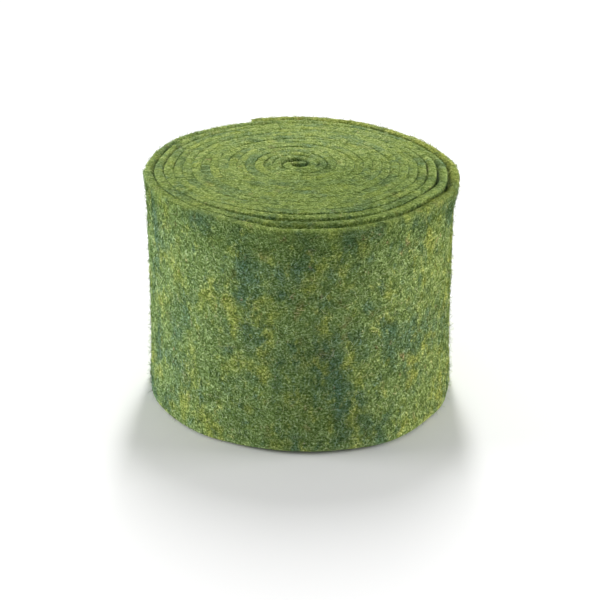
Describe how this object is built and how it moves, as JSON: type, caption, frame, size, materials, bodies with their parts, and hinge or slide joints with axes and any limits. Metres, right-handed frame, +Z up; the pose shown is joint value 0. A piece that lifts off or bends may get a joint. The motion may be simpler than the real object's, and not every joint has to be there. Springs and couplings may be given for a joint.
{
  "type": "roll of felt",
  "caption": "Band of thick wool felt wound into a drum-shaped roll that stands on its cut edge, with its loose end lying flat at the back.",
  "frame": {"origin": "on the floor, under the middle of the roll's box", "axes": "+Z up along the roll's axis, -Y towards the front, the loose end at the back"},
  "size_m": [0.2028, 0.209, 0.1572],
  "materials": {
    "green_felt": "matt, hairy wool felt, mottled in greens"
  },
  "bodies": {
    "root": {"felt_roll": "green_felt"}
  },
  "joints": []
}
